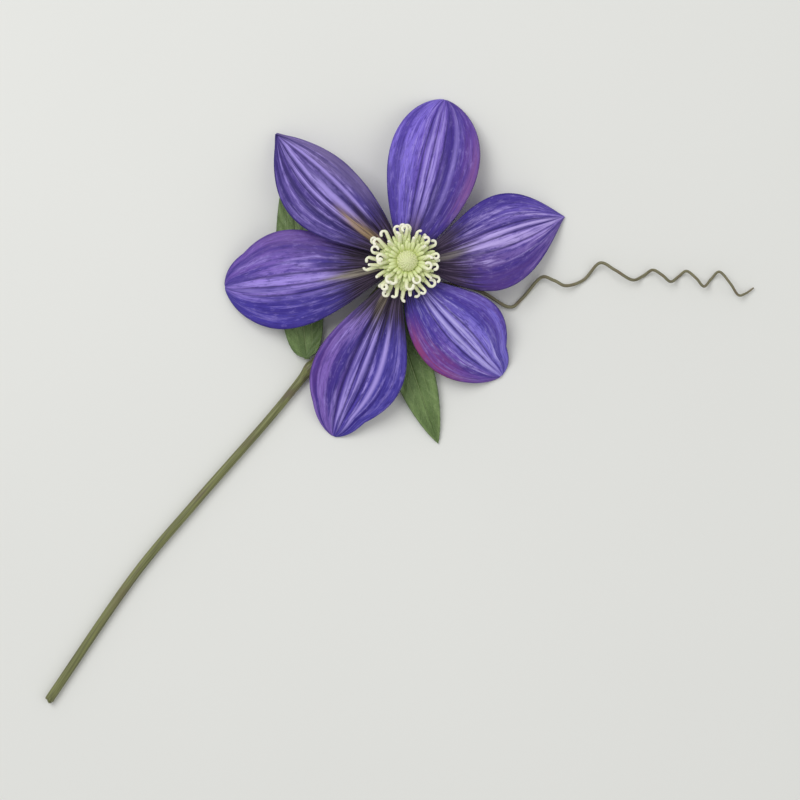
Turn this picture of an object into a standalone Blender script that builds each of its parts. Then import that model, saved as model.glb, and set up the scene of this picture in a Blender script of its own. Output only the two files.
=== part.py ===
"""Clematis flower, picked and laid face up on a surface.

Six sepals spread from a small receptacle, with a boss of pistils on top and a ring of stamens around it.
The stem bends over behind the bloom, runs along the surface to its cut end and carries two leaves and a
curly tendril. Metres, +Z up. The origin is on the surface, under the middle of the whole flower. Lengths in
the tables are millimetres from the bloom's own axis.
"""

import math
import random

import bmesh
import bpy
from mathutils import Vector

MM = 0.001

# The bloom's axis, from the middle of the whole flower.
BLOOM_X = 1.2
BLOOM_Y = 37.2

# Sepals. The lower three are under the edges of the upper three.
CLAW_RADIUS = 3.0
CLAW_HALF_WIDTH = 2.0
CLAW_HEIGHT = 8.8
LAYER_STEP = 1.25
SEPAL_THICKNESS = 0.7
SEPAL_ROWS = 17
SEPAL_COLUMNS = 8
TIP_CUT = 0.995
ROW_CROWDING = 1.5
PROFILE_END = 0.9
PROFILE_FULLNESS = 0.8
ROUND_FROM = 0.86
ROUND_POWER = 0.6

# Name, direction, reach, half widths (left, right), widest places, bluntness, bow, layer,
# then rise, tip height, how late it falls, droop of the edges, how far they fold up, rounding of the tip.
SEPALS = (
    ("sepal_top", 76.0, 46.4, 12.2, 12.5, 0.60, 0.59, 0.62, 0.56, -1.0, 0,
     6.0, 0.55, 2.9, 1.4, 0.0, 0.3),
    ("sepal_upper_right", 16.6, 45.8, 13.5, 11.5, 0.59, 0.49, 1.11, 1.18, -3.0, 1,
     5.0, 0.5, 2.2, 1.2, 0.0, 0.0),
    ("sepal_lower_right", -49.1, 40.4, 14.2, 10.3, 0.59, 0.57, 1.15, 0.63, -3.0, 0,
     4.2, 0.63, 2.64, 1.58, 0.0, 0.75),
    ("sepal_bottom", -112.3, 50.8, 12.7, 12.2, 0.59, 0.64, 1.20, 0.86, -0.6, 1,
     5.6, 0.5, 2.34, 1.17, 0.0, 0.65),
    ("sepal_left", 187.1, 49.4, 12.6, 14.1, 0.65, 0.60, 0.65, 0.90, 1.3, 0,
     6.0, 1.2, 2.6, 1.6, 0.0, 0.8),
    ("sepal_upper_left", 134.5, 50.0, 14.9, 5.7, 0.55, 0.52, 1.05, 0.96, -1.8, 1,
     6.0, 1.4, 2.3, 0.0, 2.4, 0.0),
)

# Receptacle and the boss of pistils, as turned outlines (radius, height).
RECEPTACLE = (
    (0.0, 5.4), (1.7, 5.5), (2.6, 6.4), (3.6, 7.4), (4.2, 8.0), (4.2, 8.15),
    (2.6, 8.15), (2.6, 11.0), (3.9, 11.0), (4.3, 11.5), (4.3, 12.9), (3.9, 13.4), (0.0, 13.4),
)
PISTILS = ((0.0, 13.7), (2.2, 13.7), (2.6, 14.3), (2.7, 15.4), (2.3, 16.6), (1.3, 17.5), (0.0, 17.8))
TURNED_SEGMENTS = 24

# Stamens in rings: name, count, first direction, base radius, base height, reach, tip height, thickness.
STAMEN_RINGS = (
    ("outer", 15, 4.0, 4.75, 12.2, 9.9, 12.9, 0.62),
    ("middle", 15, 16.0, 4.55, 12.85, 9.0, 15.0, 0.62),
    ("inner", 12, 9.0, 3.45, 13.9, 6.2, 17.4, 0.60),
)
HOOK_RADIUS = 0.62
HOOK_TURN = math.radians(190.0)
HOOK_STEPS = 4
FILAMENT_STEPS = 4
FILAMENT_RISE = 1.4
FILAMENT_FOOT = 1.15
FILAMENT_END = 0.85
STAMEN_SEED = 7

# Stem, from the cut end to the receptacle: x, y, height, radius.
STEM = (
    (-97.1, -119.1, 1.25, 1.24), (-94.3, -114.9, 1.26, 1.24), (-74.2, -85.6, 1.35, 1.20),
    (-57.3, -65.4, 1.40, 1.18), (-37.6, -43.0, 1.40, 1.12), (-28.5, -31.9, 1.45, 1.20),
    (-25.7, -28.4, 1.75, 1.75), (-23.2, -25.6, 1.45, 1.20), (-13.0, -14.3, 1.45, 1.12),
    (-7.6, -8.5, 1.75, 1.45), (-5.0, -5.7, 2.00, 1.60), (-2.4, -2.8, 2.50, 1.40),
    (-0.6, -0.7, 3.40, 1.40), (0.0, 0.0, 4.40, 1.50), (0.0, 0.0, 5.00, 1.60),
)
STEM_SPAN_STEPS = 3

# Leaves: name, axis points (x, y, height), petiole's share, half width, widest place, pointedness, fold.
LEAVES = (
    ("leaf_left",
     ((-26.5, -25.9, 1.8), (-27.2, -20.0, 2.0), (-28.6, -4.0, 2.6), (-29.8, 10.0, 1.9), (-31.5, 24.0, 0.6)),
     0.04, 6.2, 0.50, 0.72, 0.8),
    ("leaf_lower",
     ((-3.9, -7.9, 1.7), (-2.8, -12.0, 1.5), (1.4, -26.0, 2.3), (6.0, -39.5, 1.5), (9.3, -49.0, 0.5)),
     0.14, 5.6, 0.42, 1.20, 0.6),
)
LEAF_ROWS = 20
LEAF_COLUMNS = 6
LEAF_THICKNESS = 0.5
PETIOLE_THICKNESS = 1.4
PETIOLE_HALF_WIDTH = 0.7
PETIOLE_BLEND = 0.12
LEAF_AXIS_STEPS = 8

# Tendril: x, y, height.
TENDRIL = (
    (-2.7, -6.6, 1.8), (2.0, -5.6, 1.7), (9.0, -5.2, 1.6), (16.0, -5.9, 2.2), (21.7, -7.9, 3.0),
    (28.6, -11.7, 1.6), (32.4, -9.2, 0.46), (37.3, -3.7, 1.8), (40.8, -4.5, 3.6), (44.3, -5.9, 2.2),
    (49.2, -4.2, 0.46), (53.4, 0.3, 2.1), (57.4, -1.7, 4.3), (62.2, -4.3, 2.4), (65.4, -3.2, 0.46),
    (67.9, -1.6, 2.1), (70.3, -3.1, 4.2), (72.8, -4.8, 2.4), (75.2, -3.3, 0.46), (77.2, -1.9, 2.1),
    (79.6, -4.0, 4.2), (81.9, -6.1, 2.4), (84.1, -4.0, 0.46), (86.2, -2.1, 2.1), (88.9, -5.4, 4.0),
    (91.2, -8.4, 2.4), (93.4, -8.0, 1.0), (95.7, -6.4, 0.8),
)
TENDRIL_THICKNESS = 0.9
TENDRIL_SPAN_STEPS = 3
TENDRIL_FOOT = 1.1
TENDRIL_END = 0.75

COLOURS = {
    "sepal": ((0.072, 0.045, 0.352, 1.0), 0.55),
    "stamen": ((0.870, 0.855, 0.700, 1.0), 0.50),
    "pistil": ((0.680, 0.720, 0.400, 1.0), 0.50),
    "receptacle": ((0.120, 0.100, 0.060, 1.0), 0.60),
    "stem": ((0.200, 0.205, 0.070, 1.0), 0.50),
    "leaf": ((0.070, 0.150, 0.035, 1.0), 0.50),
    "tendril": ((0.110, 0.090, 0.040, 1.0), 0.50),
}


def clear_scene():
    for item in list(bpy.data.objects):
        bpy.data.objects.remove(item, do_unlink=True)


def make_material(name):
    colour, roughness = COLOURS[name]
    material = bpy.data.materials.new(name)
    material.use_nodes = True
    shader = material.node_tree.nodes["Principled BSDF"]
    shader.inputs["Base Color"].default_value = colour
    shader.inputs["Roughness"].default_value = roughness
    shader.inputs["Metallic"].default_value = 0.0
    material.diffuse_color = colour
    return material


def place(name, data, material, bloom, turn=0.0):
    """Add an object for the data on the bloom's axis, turned about it."""
    data.materials.append(material)
    item = bpy.data.objects.new(name, data)
    bpy.context.scene.collection.objects.link(item)
    item.parent = bloom
    item.rotation_euler = (0.0, 0.0, math.radians(turn))
    return item


def curve_value(t, a, b, c, d):
    """The value at t between b and c on a smooth curve through a, b, c and d."""
    square = (2 * a - 5 * b + 4 * c - d) * t ** 2
    cube = (3 * b - a - 3 * c + d) * t ** 3
    return 0.5 * (2 * b + (c - a) * t + square + cube)


def smooth_path(points, steps):
    """Points of a smooth curve through the given ones, with extra values carried along."""
    rows = [tuple(p) for p in points]
    ends = [rows[0]] + rows + [rows[-1]]
    path = []
    for i in range(1, len(ends) - 2):
        for step in range(steps):
            path.append(tuple(curve_value(step / steps, *values) for values in zip(*ends[i - 1:i + 3])))
    path.append(rows[-1])
    return path


def half_width(t, widest, spot, blunt, start, rounding=0.0):
    """Half the width at t along a blade, from 0 at its foot to 1 at its tip, which rounding blunts."""
    rise = blunt * spot / (1.0 - spot)
    tip_share = rounding * max(0.0, (t - ROUND_FROM) / (1.0 - ROUND_FROM))
    fall = blunt + (ROUND_POWER - blunt) * tip_share
    shape = (t / spot) ** rise * ((1.0 - t) / (1.0 - spot)) ** fall
    return widest * shape + start * (1.0 - t) ** 2 * (1.0 - shape)


def make_sheet(name, rows, columns, point):
    """A grid whose corners go where point(s, u) says, s along the blade and u across it."""
    grid = bmesh.new()
    bmesh.ops.create_grid(grid, x_segments=rows, y_segments=columns, size=1.0)
    for vert in grid.verts:
        vert.co = Vector(point((vert.co.x + 1.0) / 2.0, vert.co.y)) * MM
    mesh = bpy.data.meshes.new(name)
    grid.to_mesh(mesh)
    grid.free()
    mesh.shade_smooth()
    return mesh


def make_sepal(row, material, bloom):
    name, turn, reach, left, right, spot_l, spot_r, blunt_l, blunt_r, bow = row[:10]
    layer, rise, tip_height, late, droop, fold, rounding = row[10:]
    foot = CLAW_HEIGHT + layer * LAYER_STEP
    fall = foot + rise - tip_height

    def point(s, u):
        t = TIP_CUT * (1.0 - (1.0 - s) ** ROW_CROWDING)
        if u >= 0.0:
            width = half_width(t, left, spot_l, blunt_l, CLAW_HALF_WIDTH, rounding)
        else:
            width = half_width(t, right, spot_r, blunt_r, CLAW_HALF_WIDTH, rounding)
        x = CLAW_RADIUS + (reach - CLAW_RADIUS) * t
        y = bow * 4.0 * t * (1.0 - t) + u * width
        z = foot + rise * t - fall * t ** late
        z += (fold * abs(u) - droop * u * u) * math.sin(math.pi * min(t, PROFILE_END)) ** PROFILE_FULLNESS
        return x, y, z

    mesh = make_sheet(name, SEPAL_ROWS, SEPAL_COLUMNS, point)
    sepal = place(name, mesh, material, bloom, turn)
    skin = sepal.modifiers.new("thickness", "SOLIDIFY")
    skin.thickness = SEPAL_THICKNESS * MM
    skin.offset = 0.0
    return sepal


def make_leaf(row, material, bloom):
    name, axis, petiole, widest, spot, pointed, fold = row
    path = smooth_path(axis, LEAF_AXIS_STEPS)
    last = len(path) - 1

    def along(s):
        place_on = s * last
        i = min(int(place_on), last - 1)
        here = Vector(path[i]).lerp(Vector(path[i + 1]), place_on - i)
        way = Vector(path[i + 1]) - Vector(path[i])
        side = Vector((-way.y, way.x, 0.0)).normalized()
        return here, side

    def blade(s):
        t = max(0.0, (TIP_CUT * s - petiole) / (1.0 - petiole))
        return t, half_width(t, widest, spot, pointed, PETIOLE_HALF_WIDTH)

    def point(s, u):
        here, side = along(s)
        t, width = blade(s)
        lift = fold * abs(u) * math.sin(math.pi * t)
        return here + side * (u * width) + Vector((0.0, 0.0, lift))

    mesh = make_sheet(name, LEAF_ROWS, LEAF_COLUMNS, point)
    leaf = place(name, mesh, material, bloom)
    stalk = leaf.vertex_groups.new(name="petiole")
    for i in range(LEAF_ROWS + 1):
        t = blade(i / LEAF_ROWS)[0]
        row_verts = [j for j in range(len(mesh.vertices)) if j % (LEAF_ROWS + 1) == i]
        stalk.add(row_verts, max(0.0, 1.0 - t / PETIOLE_BLEND), "REPLACE")
    skin = leaf.modifiers.new("thickness", "SOLIDIFY")
    skin.thickness = PETIOLE_THICKNESS * MM
    skin.offset = 0.0
    skin.vertex_group = "petiole"
    skin.thickness_vertex_group = LEAF_THICKNESS / PETIOLE_THICKNESS
    return leaf


def make_tube(name, points, radius, material, bloom, turn=0.0, resolution=1):
    """A round rod along the points, each of which is x, y, height and its share of the radius."""
    curve = bpy.data.curves.new(name, "CURVE")
    curve.dimensions = "3D"
    curve.bevel_depth = radius * MM
    curve.bevel_resolution = resolution
    curve.use_fill_caps = True
    spline = curve.splines.new("POLY")
    spline.points.add(len(points) - 1)
    for spot, (x, y, z, share) in zip(spline.points, points):
        spot.co = (x * MM, y * MM, z * MM, 1.0)
        spot.radius = share
    return place(name, curve, material, bloom, turn)


def make_stamen(name, ring, number, chance, material, bloom):
    """One filament that leaves the receptacle sideways and ends in a small hook."""
    _, count, first, base_radius, base_height, reach, tip_height, thickness = ring
    turn = first + 360.0 * number / count + chance.uniform(-2.0, 2.0)
    reach = reach + chance.uniform(-0.5, 0.3)
    side = 1.0 if number % 2 else -1.0
    top = tip_height + chance.uniform(-0.25, 0.25)
    start = Vector((base_radius, 0.0, base_height))
    bend = Vector((reach - HOOK_RADIUS, 0.0, top))
    points = []
    for i in range(FILAMENT_STEPS + 1):
        t = i / FILAMENT_STEPS
        here = start.lerp(bend, t)
        here.z = base_height + (top - base_height) * t ** FILAMENT_RISE
        points.append((here.x, here.y, here.z, FILAMENT_FOOT + (FILAMENT_END - FILAMENT_FOOT) * t))
    for i in range(1, HOOK_STEPS + 1):
        angle = HOOK_TURN * i / HOOK_STEPS
        x = bend.x + HOOK_RADIUS * math.sin(angle)
        y = side * HOOK_RADIUS * (1.0 - math.cos(angle))
        points.append((x, y, top, FILAMENT_END))
    return make_tube(name, points, thickness / 2, material, bloom, turn)


def make_turned(name, outline, material, bloom):
    """A solid of revolution from its outline of radius and height."""
    solid = bmesh.new()
    verts = [solid.verts.new((radius * MM, 0.0, height * MM)) for radius, height in outline]
    edges = [solid.edges.new(pair) for pair in zip(verts, verts[1:])]
    bmesh.ops.spin(
        solid, geom=verts + edges, cent=(0.0, 0.0, 0.0), axis=(0.0, 0.0, 1.0), dvec=(0.0, 0.0, 0.0),
        angle=2.0 * math.pi, steps=TURNED_SEGMENTS, use_merge=True,
    )
    bmesh.ops.remove_doubles(solid, verts=solid.verts, dist=0.000001)
    bmesh.ops.recalc_face_normals(solid, faces=solid.faces)
    mesh = bpy.data.meshes.new(name)
    solid.to_mesh(mesh)
    solid.free()
    mesh.shade_smooth()
    return place(name, mesh, material, bloom)


def make_stem(material, bloom):
    path = smooth_path(STEM, STEM_SPAN_STEPS)
    return make_tube("stem", path, 1.0, material, bloom, resolution=2)


def make_tendril(material, bloom):
    path = smooth_path(TENDRIL, TENDRIL_SPAN_STEPS)
    last = len(path) - 1
    thinning = (TENDRIL_END - TENDRIL_FOOT) / last
    points = [(x, y, z, TENDRIL_FOOT + thinning * i) for i, (x, y, z) in enumerate(path)]
    return make_tube("tendril", points, TENDRIL_THICKNESS / 2, material, bloom)


def main():
    clear_scene()
    bloom = bpy.data.objects.new("bloom_axis", None)
    bpy.context.scene.collection.objects.link(bloom)
    bloom.location = (BLOOM_X * MM, BLOOM_Y * MM, 0.0)
    materials = {name: make_material(name) for name in COLOURS}
    make_turned("receptacle", RECEPTACLE, materials["receptacle"], bloom)
    make_turned("pistils", PISTILS, materials["pistil"], bloom)
    for row in SEPALS:
        make_sepal(row, materials["sepal"], bloom)
    chance = random.Random(STAMEN_SEED)
    for ring in STAMEN_RINGS:
        for number in range(ring[1]):
            name = f"stamen_{ring[0]}_{number + 1:02d}"
            make_stamen(name, ring, number, chance, materials["stamen"], bloom)
    make_stem(materials["stem"], bloom)
    for row in LEAVES:
        make_leaf(row, materials["leaf"], bloom)
    make_tendril(materials["tendril"], bloom)
    bpy.context.view_layer.update()


main()
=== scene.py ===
"""Clematis flower, picked and laid face up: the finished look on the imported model."""

import math
import random

import bmesh
import bpy
import numpy as np
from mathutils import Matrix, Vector


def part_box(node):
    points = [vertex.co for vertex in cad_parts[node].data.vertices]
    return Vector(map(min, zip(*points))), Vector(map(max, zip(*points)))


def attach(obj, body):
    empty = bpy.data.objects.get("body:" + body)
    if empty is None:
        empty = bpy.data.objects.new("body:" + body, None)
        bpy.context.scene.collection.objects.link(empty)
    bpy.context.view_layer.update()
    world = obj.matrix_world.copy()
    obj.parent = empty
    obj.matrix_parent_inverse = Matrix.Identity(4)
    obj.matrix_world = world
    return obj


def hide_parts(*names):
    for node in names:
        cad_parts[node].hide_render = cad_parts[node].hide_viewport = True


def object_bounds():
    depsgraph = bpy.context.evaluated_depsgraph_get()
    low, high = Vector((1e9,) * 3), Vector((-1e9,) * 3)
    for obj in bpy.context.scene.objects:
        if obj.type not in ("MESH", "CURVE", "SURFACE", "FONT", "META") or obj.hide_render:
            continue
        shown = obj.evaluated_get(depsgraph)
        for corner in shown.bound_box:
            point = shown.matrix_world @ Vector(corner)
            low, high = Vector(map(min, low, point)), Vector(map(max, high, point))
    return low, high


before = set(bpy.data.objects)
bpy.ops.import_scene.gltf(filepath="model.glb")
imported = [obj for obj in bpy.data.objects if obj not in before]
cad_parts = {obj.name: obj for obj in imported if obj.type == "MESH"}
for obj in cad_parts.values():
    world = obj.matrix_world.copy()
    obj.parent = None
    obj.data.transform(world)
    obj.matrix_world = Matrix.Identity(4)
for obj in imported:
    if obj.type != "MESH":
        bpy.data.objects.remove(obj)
cad_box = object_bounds()

MM = 0.001
BODY = "root"

# The bloom's axis, read from the boss of pistils, which stands on it.
_low, _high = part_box("pistils")
BLOOM = Vector(((_low[0] + _high[0]) / 2, (_low[1] + _high[1]) / 2, 0.0))

# ---------------------------------------------------------------------------
# Sizes, in millimetres from the bloom's axis
# ---------------------------------------------------------------------------

CLAW_RADIUS = 3.0
CLAW_HALF_WIDTH = 2.0
CLAW_HEIGHT = 8.8
LAYER_STEP = 1.25
SEPAL_THICKNESS = 0.42
SEPAL_ROWS = 110
SEPAL_COLUMNS = 64
TIP_CUT = 0.998
ROW_CROWDING = 1.5
ROUND_FROM = 0.86
ROUND_POWER = 0.6
PROFILE_END = 0.9
PROFILE_FULLNESS = 0.8
RIB_PLACES = (-0.21, 0.0, 0.21)
RIB_WIDTH = 0.045
RIB_DEPTH = 0.28
PILLOW_HEIGHT = 0.22
PILLOW_SPACING = 0.42
PILLOW_REACH = 0.5
EDGE_WAVE = 0.22
EDGE_WAVE_FROM = 0.6

# Direction in degrees, reach, half widths (left, right), widest places, bluntness, bow, layer,
# then rise, tip height, how late it falls, droop of the edges, how far they fold up, rounding of the tip.
SEPALS = {
    "sepal_top": (
        76.0, 46.4, 12.2, 12.5, 0.60, 0.59, 0.62, 0.56, -1.0, 0,
        6.0, 0.55, 2.9, 1.4, 0.0, 0.3,
    ),
    "sepal_upper_right": (
        16.6, 45.8, 13.5, 11.5, 0.59, 0.49, 1.11, 1.18, -3.0, 1,
        5.0, 0.5, 2.2, 1.2, 0.0, 0.0,
    ),
    "sepal_lower_right": (
        -49.1, 40.4, 14.2, 10.3, 0.59, 0.57, 1.15, 0.63, -3.0, 0,
        4.2, 0.63, 2.64, 1.58, 0.0, 0.75,
    ),
    "sepal_bottom": (
        -112.3, 50.8, 12.7, 12.2, 0.59, 0.64, 1.20, 0.86, -0.6, 1,
        5.6, 0.5, 2.34, 1.17, 0.0, 0.65,
    ),
    "sepal_left": (
        187.1, 49.4, 12.6, 14.1, 0.65, 0.60, 0.65, 0.90, 1.3, 0,
        6.0, 1.2, 2.6, 1.6, 0.0, 0.8,
    ),
    "sepal_upper_left": (
        134.5, 50.0, 14.9, 5.7, 0.55, 0.52, 1.05, 0.96, -1.8, 1,
        6.0, 1.4, 2.3, 0.0, 2.4, 0.0,
    ),
}

STEM = (
    (-97.1, -119.1, 1.25, 1.24), (-94.3, -114.9, 1.26, 1.24), (-74.2, -85.6, 1.35, 1.20),
    (-57.3, -65.4, 1.40, 1.18), (-37.6, -43.0, 1.40, 1.12), (-28.5, -31.9, 1.45, 1.20),
    (-25.7, -28.4, 1.75, 1.75), (-23.2, -25.6, 1.45, 1.20), (-13.0, -14.3, 1.45, 1.12),
    (-7.6, -8.5, 1.75, 1.45), (-5.0, -5.7, 2.00, 1.60), (-2.4, -2.8, 2.50, 1.40),
    (-0.6, -0.7, 3.40, 1.40), (0.0, 0.0, 4.40, 1.50), (0.0, 0.0, 5.20, 1.60),
)

TENDRIL = (
    (-2.9, -6.5, 1.8), (2.0, -5.6, 1.7), (9.0, -5.2, 1.6), (16.0, -5.9, 2.2), (21.7, -7.9, 3.0),
    (28.6, -11.7, 1.6), (32.4, -9.2, 0.46), (37.3, -3.7, 1.8), (40.8, -4.5, 3.6), (44.3, -5.9, 2.2),
    (49.2, -4.2, 0.46), (53.4, 0.3, 2.1), (57.4, -1.7, 4.3), (62.2, -4.3, 2.4), (65.4, -3.2, 0.46),
    (67.9, -1.6, 2.1), (70.3, -3.1, 4.2), (72.8, -4.8, 2.4), (75.2, -3.3, 0.46), (77.2, -1.9, 2.1),
    (79.6, -4.0, 4.2), (81.9, -6.1, 2.4), (84.1, -4.0, 0.46), (86.2, -2.1, 2.1), (88.9, -5.4, 4.0),
    (91.2, -8.4, 2.4), (93.4, -8.0, 1.0), (95.7, -6.4, 0.8),
)
TENDRIL_THICKNESS = 0.9

# Axis points (x, y, height), petiole's share, half width, widest place, pointedness, fold.
LEAVES = {
    "leaf_left": (
        (
            (-26.5, -25.9, 1.8), (-27.2, -20.0, 2.0), (-28.6, -4.0, 2.6), (-29.8, 10.0, 1.9),
            (-31.5, 24.0, 0.6),
        ),
        0.04, 6.2, 0.50, 0.72, 0.8,
    ),
    "leaf_lower": (
        ((-3.9, -7.9, 1.7), (-2.8, -12.0, 1.5), (1.4, -26.0, 2.3), (6.0, -39.5, 1.5), (9.3, -49.0, 0.5)),
        0.14, 5.6, 0.42, 1.20, 0.6,
    ),
}
LEAF_ROWS = 90
LEAF_COLUMNS = 40
LEAF_THICKNESS = 0.34
PETIOLE_HALF_WIDTH = 0.7
PETIOLE_THICKNESS = 1.3
PETIOLE_BLEND = 0.12
LEAF_MIDRIB_DEPTH = 0.30
LEAF_MIDRIB_WIDTH = 0.06
LEAF_VEINS = 13.0
LEAF_VEIN_SLANT = 2.2
LEAF_VEIN_RELIEF = 0.16

# Name, count, first direction, base radius, base height, reach, tip height.
STAMEN_RINGS = (
    ("outer", 15, 4.0, 4.0, 12.2, 10.6, 13.1),
    ("middle", 15, 16.0, 3.8, 13.0, 9.6, 14.9),
    ("inner", 12, 9.0, 3.0, 13.8, 7.4, 16.2),
)

# Half width and half height of a filament at places from its foot to its tip.
FILAMENT_PLACES = (0.0, 0.35, 0.58, 0.84, 0.95, 1.0)
FILAMENT_WIDTHS = (0.60, 0.52, 0.34, 0.43, 0.42, 0.22)
FILAMENT_HEIGHTS = (0.34, 0.34, 0.30, 0.38, 0.37, 0.22)
FILAMENT_STEPS = 12
HOOK_STEPS = 16
STAMEN_SEED = 7

# How tightly the tips curl, and the turns, in radians, that one is drawn from.
HOOK_RADIUS = 0.86
HOOKS = (0.15, 0.5, 1.7, 2.6, 3.6, 4.6, 5.3)

# Count, base radius, reach, base height and tip height of the short filaments between the rings and the boss.
FILLING = (
    (40, 3.2, 7.6, 12.5, 13.3), (32, 3.0, 6.5, 13.2, 14.4), (26, 2.6, 5.2, 13.9, 15.4),
)
FILLING_STEPS = 8
FILLING_SEED = 11

# The boss: a dome from its foot up, covered with short styles and set a little off the axis.
BOSS_RADIUS = 2.9
BOSS_HEIGHT = 2.8
BOSS_FOOT = 14.0
BOSS_OFFSET = (0.8, 0.2, 0.0)
STYLE_COUNT = 70
STYLE_STEPS = 6
STYLE_SEED = 3


# The setting: floor and view, then each lamp's name, place and size in metres, and power in watts.
FLOOR_SIZE = 3.0
FRAMING = 1.13
LENS = 110.0
SENSOR = 36.0
SKY_STRENGTH = 0.51
LAMPS = (
    ("key", (-0.45, 0.45, 0.9), 0.7, 6.1),
    ("fill", (0.7, -0.2, 0.8), 0.9, 1.75),
)


# ---------------------------------------------------------------------------
# Modelling helpers
# ---------------------------------------------------------------------------

def to_world(points):
    """Millimetres from the bloom's axis to metres in the frame."""
    return np.asarray(points, dtype=float) * MM + np.array(BLOOM)


def smooth_path(points, steps):
    """Points of a smooth curve through the given ones, with extra values carried along."""
    rows = [np.array(p, dtype=float) for p in points]
    ends = [rows[0]] + rows + [rows[-1]]
    path = []
    for i in range(1, len(ends) - 2):
        a, b, c, d = ends[i - 1:i + 3]
        for step in range(steps):
            t = step / steps
            bend = (2 * a - 5 * b + 4 * c - d) * t ** 2 + (3 * b - a - 3 * c + d) * t ** 3
            path.append(0.5 * (2 * b + (c - a) * t + bend))
    path.append(rows[-1])
    return np.array(path)


def half_width(t, widest, spot, blunt, start, rounding=0.0):
    """Half the width at t along a blade, from 0 at its foot to 1 at its tip, which rounding blunts."""
    rise = blunt * spot / (1.0 - spot)
    near_tip = rounding * np.clip((t - ROUND_FROM) / (1.0 - ROUND_FROM), 0.0, 1.0)
    fall = blunt + (ROUND_POWER - blunt) * near_tip
    shape = (t / spot) ** rise * ((1.0 - t) / (1.0 - spot)) ** fall
    return widest * shape + start * (1.0 - t) ** 2 * (1.0 - shape)


def add_grid(name, across, along):
    """A grid primitive whose UV map runs 0 to 1 across and along; returns it and its corners' u and v."""
    bpy.ops.object.select_all(action="DESELECT")
    bpy.ops.mesh.primitive_grid_add(x_subdivisions=across, y_subdivisions=along, size=2.0, calc_uvs=True)
    piece = bpy.context.object
    piece.name = name
    piece.data.name = name
    corners = np.empty(len(piece.data.vertices) * 3)
    piece.data.vertices.foreach_get("co", corners)
    corners = corners.reshape(-1, 3)
    return piece, (corners[:, 0] + 1.0) / 2.0, (corners[:, 1] + 1.0) / 2.0


def set_corners(piece, corners):
    piece.data.vertices.foreach_set("co", np.ascontiguousarray(corners, dtype=float).ravel())
    piece.data.update()


def apply_modifiers(piece):
    bpy.context.view_layer.objects.active = piece
    for modifier in list(piece.modifiers):
        bpy.ops.object.modifier_apply(modifier=modifier.name)


def coat_sides(piece, skin, face, back):
    """Give the sheet its thickness, with one material on its upper side and rim and another below."""
    piece.data.materials.append(back)
    piece.data.materials.append(face)
    skin.material_offset = 1
    skin.material_offset_rim = 1
    apply_modifiers(piece)


def finish_piece(piece, slot, *nodes):
    piece.data.shade_smooth()
    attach(piece, BODY)
    if nodes:
        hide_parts(*nodes)
    return piece


def roll_tube(name, path, wide, high, sides=12):
    """A closed round or oval rod along the path (metres), from a grid rolled up round it."""
    path = np.asarray(path, dtype=float)
    count = len(path)
    piece, u, v = add_grid(name, sides, count - 1)
    ways = np.gradient(path, axis=0)
    ways /= np.linalg.norm(ways, axis=1)[:, None]
    normal = np.array((0.0, 0.0, 1.0)) - ways[0] * ways[0][2]
    if np.linalg.norm(normal) < 0.1:
        normal = np.array((1.0, 0.0, 0.0)) - ways[0] * ways[0][0]
    normals = []
    for way in ways:
        normal = normal - way * normal.dot(way)
        normal = normal / np.linalg.norm(normal)
        normals.append(normal)
    normals = np.array(normals)
    sides_way = np.cross(ways, normals)
    ring = np.clip(np.rint(v * (count - 1)).astype(int), 0, count - 1)
    angle = 2.0 * math.pi * u
    wide = np.broadcast_to(np.asarray(wide, dtype=float), (count,))
    high = np.broadcast_to(np.asarray(high, dtype=float), (count,))
    corners = (
        path[ring]
        + sides_way[ring] * (np.cos(angle) * wide[ring])[:, None]
        + normals[ring] * (np.sin(angle) * high[ring])[:, None]
    )
    set_corners(piece, corners)
    work = bmesh.new()
    work.from_mesh(piece.data)
    bmesh.ops.remove_doubles(work, verts=work.verts, dist=1e-7)
    rims = [edge for edge in work.edges if edge.is_boundary]
    bmesh.ops.holes_fill(work, edges=rims, sides=0)
    bmesh.ops.recalc_face_normals(work, faces=work.faces)
    work.to_mesh(piece.data)
    work.free()
    return piece


# ---------------------------------------------------------------------------
# Node helpers
# ---------------------------------------------------------------------------

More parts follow.
